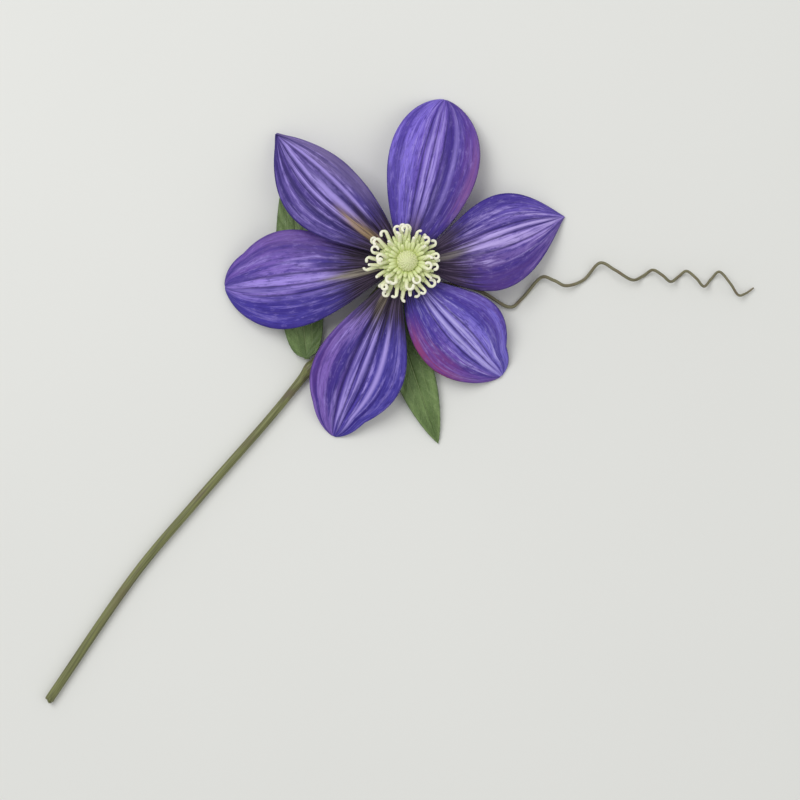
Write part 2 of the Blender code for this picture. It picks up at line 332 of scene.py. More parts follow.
class Net:
    """A short way to write shader nodes: each call adds one node and returns its output."""

    def __init__(self, tree):
        self.tree = tree

    def node(self, kind, **settings):
        made = self.tree.nodes.new(kind)
        for key, value in settings.items():
            setattr(made, key, value)
        return made

    def feed(self, socket, value):
        if isinstance(value, bpy.types.NodeSocket):
            self.tree.links.new(value, socket)
        elif value is not None:
            socket.default_value = value

    def math(self, operation, a, b=None, c=None, clamp=False):
        made = self.node("ShaderNodeMath", operation=operation, use_clamp=clamp)
        for socket, value in zip(made.inputs, (a, b, c)):
            self.feed(socket, value)
        return made.outputs[0]

    def ramp(self, value, low, high, start=0.0, end=1.0):
        made = self.node("ShaderNodeMapRange", interpolation_type="SMOOTHSTEP")
        for socket, item in zip(made.inputs[:5], (value, low, high, start, end)):
            self.feed(socket, item)
        return made.outputs[0]

    def mix(self, factor, a, b, blend="MIX"):
        made = self.node("ShaderNodeMix", data_type="RGBA", blend_type=blend)
        self.feed(made.inputs[0], factor)
        self.feed(made.inputs[6], a)
        self.feed(made.inputs[7], b)
        return made.outputs[2]

    def vector(self, x, y, z=0.0):
        made = self.node("ShaderNodeCombineXYZ")
        for socket, value in zip(made.inputs, (x, y, z)):
            self.feed(socket, value)
        return made.outputs[0]

    def split(self, vector):
        made = self.node("ShaderNodeSeparateXYZ")
        self.feed(made.inputs[0], vector)
        return made.outputs

    def noise(self, vector, scale=1.0, detail=3.0, rough=0.5):
        made = self.node("ShaderNodeTexNoise")
        self.feed(made.inputs["Vector"], vector)
        made.inputs["Scale"].default_value = scale
        made.inputs["Detail"].default_value = detail
        made.inputs["Roughness"].default_value = rough
        return made.outputs[0]

    def cells(self, vector, scale=1.0):
        made = self.node("ShaderNodeTexVoronoi", feature="DISTANCE_TO_EDGE")
        self.feed(made.inputs["Vector"], vector)
        made.inputs["Scale"].default_value = scale
        return made.outputs["Distance"]


def srgb(red, green, blue):
    """A colour given as 0 to 255 screen values, as the linear one that shaders read."""
    linear = []
    for value in (red, green, blue):
        part = value / 255.0
        linear.append(part / 12.92 if part <= 0.04045 else ((part + 0.055) / 1.055) ** 2.4)
    return (*linear, 1.0)


def new_group(name, inputs, outputs):
    """An empty shader group; inputs and outputs are (name, kind, default) rows."""
    group = bpy.data.node_groups.new(name, "ShaderNodeTree")
    kinds = {"colour": "NodeSocketColor", "value": "NodeSocketFloat", "vector": "NodeSocketVector"}
    for label, kind, default in inputs:
        socket = group.interface.new_socket(name=label, in_out="INPUT", socket_type=kinds[kind])
        if default is not None:
            socket.default_value = default
    for label, kind in outputs:
        group.interface.new_socket(name=label, in_out="OUTPUT", socket_type=kinds[kind])
    start = group.nodes.new("NodeGroupInput")
    end = group.nodes.new("NodeGroupOutput")
    return group, Net(group), start.outputs, end.inputs


def new_material(name, group, values, bump, sheen=0.0, shine=0.5, subsurface=0.0):
    """A material whose colour, roughness and bump come from a shared group with these input values."""
    material = bpy.data.materials.new(name)
    material.use_nodes = True
    tree = material.node_tree
    net = Net(tree)
    shader = tree.nodes["Principled BSDF"]
    pattern = net.node("ShaderNodeGroup", node_tree=group)
    for label, value in values.items():
        net.feed(pattern.inputs[label], value)
    tree.links.new(pattern.outputs["Color"], shader.inputs["Base Color"])
    tree.links.new(pattern.outputs["Roughness"], shader.inputs["Roughness"])
    relief = net.node("ShaderNodeBump")
    relief.inputs["Strength"].default_value = 1.0
    relief.inputs["Distance"].default_value = bump * MM
    tree.links.new(pattern.outputs["Height"], relief.inputs["Height"])
    tree.links.new(relief.outputs[0], shader.inputs["Normal"])
    shader.inputs["Sheen Weight"].default_value = sheen
    shader.inputs["Specular IOR Level"].default_value = shine
    shader.inputs["Subsurface Weight"].default_value = subsurface
    shader.inputs["Subsurface Radius"].default_value = (0.6, 0.4, 0.8)
    shader.inputs["Subsurface Scale"].default_value = 0.001
    return material


# ---------------------------------------------------------------------------
# Patterns
# ---------------------------------------------------------------------------

def sepal_pattern():
    """Long streaks and ribs that run from foot to tip over soft fields of colour, with a dark foot; painted
    highlights on the pale streaks, lines and tips, and painted shade in the grooves, along the fold and at
    the rim.
    """
    group, net, given, result = new_group(
        "sepal_pattern",
        (
            ("Left Low", "colour", srgb(100, 84, 150)), ("Left High", "colour", srgb(100, 84, 150)),
            ("Middle Low", "colour", srgb(100, 84, 150)), ("Middle High", "colour", srgb(120, 104, 180)),
            ("Right Low", "colour", srgb(100, 84, 150)), ("Right High", "colour", srgb(100, 84, 150)),
            ("Streak And Highlight", "colour", srgb(176, 158, 238)), ("Deep", "colour", srgb(56, 38, 138)),
            ("Dark", "colour", srgb(38, 24, 94)), ("Band Amount", "value", 0.75),
            ("Foot", "colour", srgb(34, 22, 42)), ("Foot Reach", "value", 0.26),
            ("Midrib", "colour", srgb(160, 138, 112)), ("Midrib Amount", "value", 0.8),
            ("Midrib Reach", "value", 0.36), ("Midrib Width", "value", 0.12), ("Midrib Lean", "value", 0.0),
            ("Left Edge", "colour", srgb(110, 70, 150)), ("Left Tint", "value", 0.0),
            ("Right Edge", "colour", srgb(110, 70, 150)), ("Right Tint", "value", 0.0),
            ("Line Place", "value", 0.4), ("Line Amount", "value", 0.0), ("Pair Amount", "value", 0.6),
            ("Streak Amount", "value", 0.8), ("Vein Amount", "value", 0.55), ("Rib Shift", "value", 0.0),
            ("Foot Light", "colour", srgb(96, 80, 108)), ("Tint Start", "value", 0.40),
            ("Groove Place", "value", 0.4), ("Groove Amount", "value", 0.0), ("Seed", "value", 0.0),
        ),
        (("Color", "colour"), ("Roughness", "value"), ("Height", "value")),
    )
    place = net.split(net.node("ShaderNodeUVMap", uv_map="UVMap").outputs[0])
    shift = given["Rib Shift"]
    shifted = net.math("SUBTRACT", net.math("MULTIPLY_ADD", place[0], 2.0, -1.0), shift)
    left_part = net.math("DIVIDE", net.math("MAXIMUM", shifted, 0.0), net.math("SUBTRACT", 1.0, shift))
    right_part = net.math("DIVIDE", net.math("MINIMUM", shifted, 0.0), net.math("ADD", 1.0, shift))
    across = net.math("ADD", left_part, right_part)
    off = net.math("ABSOLUTE", across)
    left_over = net.math("SUBTRACT", 1.0, place[1])
    along = net.math("SUBTRACT", 1.0, net.math("POWER", left_over, ROW_CROWDING))
    seed = given["Seed"]

    def grain(fine, long, detail, rough=0.6):
        spots = net.vector(net.math("MULTIPLY", across, fine), net.math("MULTIPLY", along, long), seed)
        return net.noise(spots, 1.0, detail, rough)

    def near(value, centre, width):
        return net.ramp(net.math("ABSOLUTE", net.math("SUBTRACT", value, centre)), width, 0.0)

    bands = grain(4.4, 1.3, 1.0)
    streaky = grain(11.0, 3.0, 2.0)
    fine = grain(22.0, 3.6, 3.0)
    hair = grain(40.0, 12.0, 2.0, 0.7)
    mottle = grain(13.0, 17.0, 3.0, 0.7)
    wander = net.math("MULTIPLY_ADD", bands, 0.6, -0.3)
    body = net.math("MULTIPLY", net.ramp(along, 0.10, 0.36), net.ramp(along, 1.03, 0.86))

    # soft fields: three across, two along; the fields toward the tip are lighter, partly the sepal's own
    # colour and partly painted light on the curved tips
    rise = net.ramp(net.math("MULTIPLY_ADD", streaky, 0.3, along), 0.36, 0.86)
    left_field = net.mix(rise, given["Left Low"], given["Left High"])
    middle_field = net.mix(rise, given["Middle Low"], given["Middle High"])
    right_field = net.mix(rise, given["Right Low"], given["Right High"])
    drift = net.math("MULTIPLY_ADD", wander, 0.6, across)
    tone = net.mix(net.ramp(drift, 0.08, 0.50), middle_field, left_field)
    tone = net.mix(net.ramp(drift, -0.08, -0.50), tone, right_field)

    # deep bands, pale streaks, fine dark veins and mottling; the pale streaks are partly the sepal's own
    # streaking and partly painted highlight on lit ridges
    deep = net.math("MULTIPLY", net.ramp(bands, 0.47, 0.59), given["Band Amount"])
    tone = net.mix(deep, tone, given["Deep"])
    streaks_and_highlights = net.math("MULTIPLY", net.ramp(streaky, 0.48, 0.68), net.ramp(bands, 0.60, 0.44, 0.35, 1.0))
    streaks_and_highlights = net.math("MULTIPLY", net.math("MULTIPLY", streaks_and_highlights, net.ramp(off, 1.0, 0.40, 0.25, 1.0)), body)
    streaks_and_highlights = net.math("MULTIPLY", streaks_and_highlights, net.ramp(mottle, 0.36, 0.60, 0.62, 1.0))
    tone = net.mix(net.math("MULTIPLY", streaks_and_highlights, given["Streak Amount"]), tone, given["Streak And Highlight"])
    veins = net.math("MULTIPLY", net.ramp(fine, 0.48, 0.36), given["Vein Amount"])
    tone = net.mix(veins, tone, given["Deep"])
    tone = net.mix(net.ramp(mottle, 0.46, 0.30, 0.0, 0.60), tone, given["Deep"])
    tone = net.mix(net.ramp(mottle, 0.52, 0.78, 0.0, 0.34), tone, given["Streak And Highlight"])
    tone = net.mix(net.ramp(hair, 0.50, 0.68, 0.0, 0.45), tone, given["Dark"])

    # tinted edges
    left = net.ramp(net.math("ADD", across, wander), 0.42, 0.98)
    right = net.ramp(net.math("SUBTRACT", wander, across), given["Tint Start"], 0.98)
    tint_reach = net.math("MULTIPLY", net.ramp(along, 0.16, 0.44), net.ramp(along, 0.96, 0.66, 0.15, 1.0))
    tint_reach = net.math("MULTIPLY", tint_reach, net.ramp(fine, 0.68, 0.42, 0.35, 1.0))
    for side, amount, colour in ((left, "Left Tint", "Left Edge"), (right, "Right Tint", "Right Edge")):
        tint = net.math("MULTIPLY", net.math("MULTIPLY", side, tint_reach), given[amount])
        tone = net.mix(tint, tone, given[colour])

    # painted shade darkening the grooves at the ribs, and painted highlights on the pale lines beside them,
    # where the pillows rise
    rib = net.math("ABSOLUTE", net.math("SUBTRACT", off, RIB_PLACES[2]))
    groove = net.math("MULTIPLY", net.ramp(rib, RIB_WIDTH, 0.004), net.ramp(along, 0.98, 0.75))
    middle = net.math("MULTIPLY", net.ramp(off, RIB_WIDTH * 0.8, 0.004), net.ramp(along, 1.0, 0.85))
    lines = net.math("MAXIMUM", groove, middle)
    tone = net.mix(net.math("MULTIPLY", lines, 0.70), tone, given["Dark"])
    pillow_highlight = net.math("MULTIPLY", near(off, 0.090, 0.085), net.math("MULTIPLY", body, given["Pair Amount"]))
    tone = net.mix(net.math("MULTIPLY", pillow_highlight, net.ramp(fine, 0.36, 0.56, 0.25, 1.0)), tone, given["Streak And Highlight"])
    # a pale line along one side of the fold: painted highlight
    line_amount = net.math("MULTIPLY", body, given["Line Amount"])
    line = net.math("MULTIPLY", near(across, given["Line Place"], 0.09), line_amount)
    tone = net.mix(line, tone, given["Streak And Highlight"])

    # a dark line along the fold: painted shade in the crease
    fold_shade = near(net.math("MULTIPLY_ADD", wander, 0.25, across), given["Groove Place"], 0.13)
    fold_shade = net.math("MULTIPLY", fold_shade, net.math("MULTIPLY", body, given["Groove Amount"]))
    tone = net.mix(fold_shade, tone, given["Dark"])

    # the dark foot, with its pale midrib
    lean = net.math("MULTIPLY", given["Midrib Lean"], net.ramp(along, 0.50, 0.05))
    off_rib = net.math("ABSOLUTE", net.math("SUBTRACT", across, lean))
    feet = net.math("MULTIPLY_ADD", fine, -0.40, net.math("ADD", given["Foot Reach"], 0.20))
    shade = net.ramp(net.math("SUBTRACT", along, feet), 0.12, -0.10)
    flank = near(off_rib, net.math("ADD", given["Midrib Width"], 0.06), 0.14)
    shade_reach = net.ramp(net.math("SUBTRACT", along, given["Midrib Reach"]), 0.05, -0.15, 0.0, 0.85)
    shade = net.math("MAXIMUM", shade, net.math("MULTIPLY", flank, shade_reach))
    foot = net.mix(net.ramp(fine, 0.46, 0.66, 0.0, 0.75), given["Foot"], given["Foot Light"])
    tone = net.mix(shade, tone, foot)
    spread = net.math("MULTIPLY", given["Midrib Width"], net.ramp(along, 0.42, 0.08, 0.7, 1.7))
    stripe = net.math("SUBTRACT", net.math("MULTIPLY_ADD", hair, 0.10, off_rib), spread)
    stripe = net.math("MULTIPLY", net.ramp(stripe, 0.09, -0.07), net.ramp(fine, 0.34, 0.58, 0.35, 1.0))
    stripe_reach = net.ramp(net.math("SUBTRACT", along, given["Midrib Reach"]), 0.08, -0.12)
    stripe = net.math("MULTIPLY", net.math("MULTIPLY", stripe, stripe_reach), given["Midrib Amount"])
    tone = net.mix(stripe, tone, given["Midrib"])
    # painted shade: the rim darkened toward the Dark colour
    tone = net.mix(net.ramp(off, 0.95, 0.995, 0.0, 0.3), tone, given["Dark"])

    height = net.math("MULTIPLY_ADD", fine, 0.5, net.math("MULTIPLY", hair, 0.3))
    height = net.math("SUBTRACT", height, net.math("MULTIPLY", lines, 0.25))
    net.feed(result["Color"], tone)
    net.feed(result["Roughness"], net.ramp(fine, 0.3, 0.7, 0.42, 0.58))
    net.feed(result["Height"], height)
    return group


def leaf_pattern():
    """Arching long veins, slanting cross veins and a fine net between them."""
    group, net, given, result = new_group(
        "leaf_pattern",
        (
            ("Base", "colour", srgb(86, 112, 56)), ("Light", "colour", srgb(118, 144, 84)),
            ("Dark", "colour", srgb(58, 80, 40)), ("Vein", "colour", srgb(158, 180, 122)),
            ("Vein Amount", "value", 0.75), ("Seed", "value", 0.0),
        ),
        (("Color", "colour"), ("Roughness", "value"), ("Height", "value")),
    )
    place = net.split(net.node("ShaderNodeUVMap", uv_map="UVMap").outputs[0])
    off = net.math("ABSOLUTE", net.math("MULTIPLY_ADD", place[0], 2.0, -1.0))
    along = place[1]

    def spots(across_scale, along_scale):
        x = net.math("MULTIPLY", place[0], across_scale)
        return net.vector(x, net.math("MULTIPLY", along, along_scale), given["Seed"])

    patch = net.noise(spots(3.0, 4.0), 1.0, 3.0)
    grain = net.noise(spots(40.0, 90.0), 1.0, 2.0)
    bent = net.math("MULTIPLY_ADD", patch, 0.12, net.math("SUBTRACT", off, 0.06))
    main = net.ramp(off, 0.055, 0.012)
    first = net.ramp(net.math("ABSOLUTE", net.math("SUBTRACT", bent, 0.42)), 0.030, 0.004, 0.0, 0.55)
    second = net.ramp(net.math("ABSOLUTE", net.math("SUBTRACT", bent, 0.74)), 0.026, 0.004, 0.0, 0.35)
    slant = net.math("MULTIPLY_ADD", off, -LEAF_VEIN_SLANT, net.math("MULTIPLY", along, LEAF_VEINS))
    slant = net.math("ADD", slant, net.math("MULTIPLY", patch, 1.6))
    cross = net.math("ABSOLUTE", net.math("SUBTRACT", net.math("FRACT", slant), 0.5))
    cross = net.ramp(cross, 0.07, 0.0, 0.0, 0.30)
    mesh = net.ramp(net.cells(spots(16.0, 42.0)), 0.10, 0.0, 0.0, 0.22)
    veins = net.math("MAXIMUM", net.math("MAXIMUM", main, first), net.math("MAXIMUM", second, cross))
    veins = net.math("MAXIMUM", veins, mesh)
    tone = net.mix(net.ramp(patch, 0.35, 0.65), given["Base"], given["Light"])
    tone = net.mix(net.ramp(grain, 0.45, 0.75, 0.0, 0.35), tone, given["Dark"])
    tone = net.mix(net.ramp(off, 0.90, 1.0, 0.0, 0.55), tone, given["Dark"])
    tone = net.mix(net.math("MULTIPLY", veins, given["Vein Amount"]), tone, given["Vein"])
    net.feed(result["Color"], tone)
    net.feed(result["Roughness"], net.ramp(grain, 0.3, 0.7, 0.40, 0.56))
    net.feed(result["Height"], net.math("MULTIPLY_ADD", grain, 0.2, net.math("MULTIPLY", veins, -0.8)))
    return group


def stalk_pattern():
    """Long fibres along a stem or a thread, with darker and browner stretches."""
    group, net, given, result = new_group(
        "stalk_pattern",
        (
            ("Base", "colour", srgb(122, 126, 74)), ("Dark", "colour", srgb(84, 86, 50)),
            ("Blush", "colour", srgb(104, 76, 60)), ("Blush Amount", "value", 0.5),
            ("Along", "value", 10.0), ("Around", "value", 9.0),
        ),
        (("Color", "colour"), ("Roughness", "value"), ("Height", "value")),
    )
    place = net.split(net.node("ShaderNodeUVMap", uv_map="UVMap").outputs[0])
    turn = net.math("MULTIPLY", place[0], 2.0 * math.pi)
    ring_x = net.math("MULTIPLY", net.math("COSINE", turn), given["Around"])
    ring_y = net.math("MULTIPLY", net.math("SINE", turn), given["Around"])
    along = net.math("MULTIPLY", place[1], given["Along"])
    fibre = net.noise(net.vector(ring_x, ring_y, along), 1.0, 3.0)
    wide_x = net.math("MULTIPLY", ring_x, 0.08)
    wide_y = net.math("MULTIPLY", ring_y, 0.08)
    patch = net.noise(net.vector(wide_x, wide_y, along), 1.0, 2.0)
    tone = net.mix(net.ramp(fibre, 0.35, 0.68), given["Base"], given["Dark"])
    blush = net.math("MULTIPLY", net.ramp(patch, 0.48, 0.72), given["Blush Amount"])
    tone = net.mix(blush, tone, given["Blush"])
    net.feed(result["Color"], tone)
    net.feed(result["Roughness"], net.ramp(fibre, 0.3, 0.7, 0.42, 0.60))
    net.feed(result["Height"], fibre)
    return group


def filament_pattern():
    """A filament that pales from its foot to its tip, finely grained."""
    group, net, given, result = new_group(
        "filament_pattern",
        (
            ("Foot", "colour", srgb(204, 216, 146)), ("Middle", "colour", srgb(230, 234, 190)),
            ("Tip", "colour", srgb(247, 245, 226)), ("Grain", "colour", srgb(220, 220, 176)),
        ),
        (("Color", "colour"), ("Roughness", "value"), ("Height", "value")),
    )
    place = net.split(net.node("ShaderNodeUVMap", uv_map="UVMap").outputs[0])
    spots = net.node("ShaderNodeTexCoord").outputs["Object"]
    grain = net.noise(spots, 2600.0, 3.0)
    tone = net.mix(net.ramp(place[1], 0.0, 0.40), given["Foot"], given["Middle"])
    tone = net.mix(net.ramp(place[1], 0.22, 0.72), tone, given["Tip"])
    tone = net.mix(net.ramp(grain, 0.50, 0.72, 0.0, 0.30), tone, given["Grain"])
    net.feed(result["Color"], tone)
    net.feed(result["Roughness"], net.ramp(grain, 0.3, 0.7, 0.40, 0.56))
    net.feed(result["Height"], grain)
    return group


# ---------------------------------------------------------------------------
# Sepals
# ---------------------------------------------------------------------------

SEPAL_LOOKS = {
    "sepal_top": {
        "Left High": srgb(126, 106, 214), "Middle High": srgb(118, 92, 196), "Right High": srgb(92, 66, 160),
        "Left Low": srgb(118, 100, 206), "Middle Low": srgb(88, 70, 160), "Right Low": srgb(62, 46, 128),
        "Deep": srgb(66, 46, 148), "Right Edge": srgb(140, 90, 156), "Right Tint": 0.8, "Tint Start": 0.58,
        "Groove Place": -0.30, "Groove Amount": 0.45,
        "Midrib": srgb(128, 108, 132), "Midrib Amount": 0.7, "Midrib Reach": 0.24, "Foot Reach": 0.08,
        "Pair Amount": 0.7, "Line Place": -0.46, "Line Amount": 0.35, "Rib Shift": 0.05, "Seed": 1.3,
    },
    "sepal_upper_right": {
        "Left High": srgb(104, 86, 182), "Middle High": srgb(172, 150, 230), "Right High": srgb(116, 92, 174),
        "Left Low": srgb(56, 40, 108), "Middle Low": srgb(86, 66, 138), "Right Low": srgb(76, 54, 122),
        "Right Edge": srgb(88, 54, 122), "Right Tint": 0.5, "Streak And Highlight": srgb(190, 172, 238),
        "Foot": srgb(40, 26, 54),
        "Midrib": srgb(124, 118, 114), "Midrib Amount": 0.8, "Midrib Reach": 0.36, "Midrib Width": 0.11,
        "Midrib Lean": -0.16, "Foot Reach": 0.30, "Pair Amount": 0.95, "Rib Shift": 0.18, "Seed": 4.7,
    },
    "sepal_lower_right": {
        "Left High": srgb(122, 110, 214), "Middle High": srgb(144, 128, 224),
        "Right High": srgb(112, 80, 176),
        "Left Low": srgb(92, 76, 168), "Middle Low": srgb(108, 92, 188), "Right Low": srgb(66, 54, 154),
        "Deep": srgb(64, 50, 152), "Right Edge": srgb(148, 62, 114), "Right Tint": 0.95, "Tint Start": 0.46,
        "Streak And Highlight": srgb(188, 178, 244),
        "Left Edge": srgb(104, 60, 140), "Left Tint": 0.3, "Midrib": srgb(120, 100, 124),
        "Midrib Amount": 0.4,
        "Midrib Reach": 0.18, "Foot Reach": 0.15, "Pair Amount": 0.9, "Rib Shift": 0.12, "Seed": 8.1,
    },
    "sepal_bottom": {
        "Left High": srgb(76, 66, 166), "Middle High": srgb(78, 60, 164), "Right High": srgb(130, 100, 190),
        "Left Low": srgb(78, 66, 156), "Middle Low": srgb(54, 40, 104), "Right Low": srgb(122, 100, 176),
        "Deep": srgb(50, 36, 132), "Right Edge": srgb(98, 54, 130), "Right Tint": 0.5, "Band Amount": 0.85,
        "Midrib": srgb(116, 106, 88), "Midrib Amount": 0.8, "Midrib Reach": 0.30, "Midrib Width": 0.17,
        "Midrib Lean": -0.30, "Foot Reach": 0.30, "Pair Amount": 0.85, "Line Place": 0.44, "Line Amount": 0.9,
        "Groove Place": -0.24, "Groove Amount": 0.55,
        "Seed": 12.4,
    },
    "sepal_left": {
        "Left High": srgb(68, 56, 158), "Middle High": srgb(156, 132, 224), "Right High": srgb(112, 84, 176),
        "Left Low": srgb(60, 50, 126), "Middle Low": srgb(112, 96, 168), "Right Low": srgb(70, 56, 124),
        "Deep": srgb(56, 42, 138), "Right Edge": srgb(112, 76, 146), "Right Tint": 0.5,
        "Streak Amount": 0.6, "Vein Amount": 0.45,
        "Midrib": srgb(146, 138, 124), "Midrib Amount": 0.9, "Midrib Reach": 0.42, "Foot Reach": 0.30,
        "Midrib Width": 0.13, "Pair Amount": 0.35, "Rib Shift": 0.08, "Seed": 17.9,
    },
    "sepal_upper_left": {
        "Left High": srgb(100, 82, 164), "Middle High": srgb(88, 70, 148),
        "Right High": srgb(120, 104, 164),
        "Left Low": srgb(74, 60, 132), "Middle Low": srgb(76, 62, 120), "Right Low": srgb(66, 52, 142),
        "Deep": srgb(46, 32, 110), "Midrib": srgb(166, 140, 106), "Midrib Amount": 0.95, "Midrib Reach": 0.42,
        "Midrib Width": 0.15, "Midrib Lean": 0.10, "Foot Reach": 0.24, "Pair Amount": 0.75,
        "Band Amount": 0.9,
        "Line Place": -0.30, "Line Amount": 0.9, "Groove Place": 0.42, "Groove Amount": 0.85,
        "Right Edge": srgb(112, 98, 148), "Right Tint": 0.85, "Tint Start": 0.25, "Rib Shift": 0.32,
        "Seed": 23.2,
    },
}


def make_sepal(node, pattern):
    turn, reach, left, right, spot_l, spot_r, blunt_l, blunt_r, bow = SEPALS[node][:9]
    layer, rise, tip_height, late, droop, fold, rounding = SEPALS[node][9:]
    looks = SEPAL_LOOKS[node]
    name = node.replace("sepal", "blade")
    piece, u, v = add_grid(name, SEPAL_COLUMNS, SEPAL_ROWS)
    across = 2.0 * u - 1.0
    t = TIP_CUT * (1.0 - (1.0 - v) ** ROW_CROWDING)
    shift = looks.get("Rib Shift", 0.0)
    ribbed = (across - shift) / np.where(across > shift, 1.0 - shift, 1.0 + shift)
    off = np.abs(ribbed)
    wide_left = half_width(t, left, spot_l, blunt_l, CLAW_HALF_WIDTH, rounding)
    wide_right = half_width(t, right, spot_r, blunt_r, CLAW_HALF_WIDTH, rounding)
    width = np.where(across >= 0.0, wide_left, wide_right)
    foot = CLAW_HEIGHT + layer * LAYER_STEP
    fall = foot + rise - tip_height
    seed = looks["Seed"]
    x = CLAW_RADIUS + (reach - CLAW_RADIUS) * t
    y = bow * 4.0 * t * (1.0 - t) + across * width
    z = foot + rise * t - fall * t ** late
    full = np.sin(np.pi * np.minimum(t, PROFILE_END)) ** PROFILE_FULLNESS
    z += (fold * off - droop * across ** 2) * full
    # three sunk ribs with soft pillows between them, and a slightly waved edge
    for place_of in RIB_PLACES:
        z -= RIB_DEPTH * full * np.exp(-((ribbed - place_of) / RIB_WIDTH) ** 2)
    pillows = np.cos(ribbed * 2.0 * np.pi / PILLOW_SPACING) * np.exp(-(off / PILLOW_REACH) ** 2)
    z += PILLOW_HEIGHT * full * pillows
    wave = np.sin(t * 15.0 + seed) + 0.6 * np.sin(t * 29.0 + 2.3 * seed)
    near_edge = np.clip((np.abs(across) - EDGE_WAVE_FROM) / (1.0 - EDGE_WAVE_FROM), 0.0, 1.0)
    z += EDGE_WAVE * full * near_edge ** 2 * wave
    turn = math.radians(turn)
    set_corners(piece, to_world(spin_points(np.stack([x, y, z], axis=1), turn)))
    skin = piece.modifiers.new("thickness", "SOLIDIFY")
    skin.thickness = SEPAL_THICKNESS * MM
    skin.offset = 0.0
    fields = [side + level for side in ("Left ", "Middle ", "Right ") for level in ("Low", "High")]
    back = {field: srgb(134, 108, 190) for field in fields}
    back.update({
        "Middle Low": srgb(120, 112, 130), "Streak And Highlight": srgb(176, 152, 224), "Deep": srgb(112, 88, 174),
        "Dark": srgb(96, 74, 160), "Foot": srgb(120, 112, 110), "Foot Reach": 0.05,
        "Midrib": srgb(140, 130, 124), "Seed": seed + 40.0,
    })
    face = new_material(name + "_face", pattern, looks, 0.25, sheen=0.04, shine=0.22)
    coat_sides(piece, skin, face, new_material(name + "_back", pattern, back, 0.3, shine=0.25))
    return finish_piece(piece, "sepal", node)


# ---------------------------------------------------------------------------
# Leaves
# ---------------------------------------------------------------------------

def make_leaf(node, pattern):
    axis, petiole, widest, spot, pointed, fold = LEAVES[node]
    name = node.replace("leaf", "foliage")
    path = smooth_path(axis, 30)
    piece, u, v = add_grid(name, LEAF_COLUMNS, LEAF_ROWS)
    across = 2.0 * u - 1.0
    off = np.abs(across)
    spots = v * (len(path) - 1)
    here = np.stack([np.interp(spots, np.arange(len(path)), path[:, k]) for k in range(3)], axis=1)
    ways = np.gradient(path, axis=0)
    way = np.stack([np.interp(spots, np.arange(len(path)), ways[:, k]) for k in range(2)], axis=1)
    side = np.stack([-way[:, 1], way[:, 0]], axis=1)
    side /= np.linalg.norm(side, axis=1)[:, None]
    t = np.maximum(0.0, (TIP_CUT * v - petiole) / (1.0 - petiole))
    width = half_width(t, widest, spot, pointed, PETIOLE_HALF_WIDTH)
    corners = here.copy()
    corners[:, :2] += side * (across * width)[:, None]
    body = np.sin(np.pi * t)
    corners[:, 2] += fold * off * body
    corners[:, 2] -= LEAF_MIDRIB_DEPTH * body * np.exp(-(across / LEAF_MIDRIB_WIDTH) ** 2)
    veins = np.cos((t * LEAF_VEINS - off * LEAF_VEIN_SLANT) * 2.0 * np.pi)
    corners[:, 2] += LEAF_VEIN_RELIEF * body * veins * np.clip(off * 2.0, 0.0, 1.0)
    set_corners(piece, to_world(corners))
    stalk = piece.vertex_groups.new(name="petiole")
    share = np.maximum(0.0, 1.0 - t / PETIOLE_BLEND)
    for i in range(len(share)):
        stalk.add([i], float(share[i]), "REPLACE")
    skin = piece.modifiers.new("thickness", "SOLIDIFY")
    skin.thickness = PETIOLE_THICKNESS * MM
    skin.offset = 0.0
    skin.vertex_group = "petiole"
    skin.thickness_vertex_group = LEAF_THICKNESS / PETIOLE_THICKNESS
    face = new_material(name + "_face", pattern, {"Seed": widest}, 0.25, sheen=0.05)
    under = {
        "Base": srgb(112, 146, 104), "Light": srgb(136, 168, 126), "Dark": srgb(92, 122, 84),
        "Vein": srgb(158, 184, 138), "Seed": widest + 2.0,
    }
    coat_sides(piece, skin, face, new_material(name + "_under", pattern, under, 0.3))
    return finish_piece(piece, "leaf", node)


# ---------------------------------------------------------------------------
# Stamens and pistils
# ---------------------------------------------------------------------------

def stamen_path(ring, number, chance):
    """Where one filament runs, in millimetres, and how far it hooks over at its tip."""
    _, count, first, base_radius, base_height, reach, tip_height = ring
    turn = math.radians(first + 360.0 * number / count + chance.uniform(-4.5, 4.5))
    hook = chance.choice(HOOKS)
    curl = HOOK_RADIUS * chance.uniform(0.68, 1.12)
    reach = reach + chance.uniform(-0.8, 0.5)
    side = 1.0 if number % 2 else -1.0
    top = tip_height + chance.uniform(-0.25, 0.25)
    points = []
    for i in range(FILAMENT_STEPS + 1):
        t = i / FILAMENT_STEPS
        radius = base_radius + (reach - curl - base_radius) * t
        sway = 0.25 * math.sin(t * math.pi) * side
        points.append((radius, sway, base_height + (top - base_height) * t ** 1.4))
    for i in range(1, HOOK_STEPS + 1):
        angle = hook * i / HOOK_STEPS
        points.append((
            points[FILAMENT_STEPS][0] + curl * math.sin(angle),
            side * curl * (1.0 - math.cos(angle)),
            top + 0.25 * i / HOOK_STEPS,
        ))
    return spin_points(points, turn)


def spin_points(points, turn):
    points = np.array(points)
    spun = points.copy()
    spun[:, 0] = points[:, 0] * math.cos(turn) - points[:, 1] * math.sin(turn)
    spun[:, 1] = points[:, 0] * math.sin(turn) + points[:, 1] * math.cos(turn)
    return spun


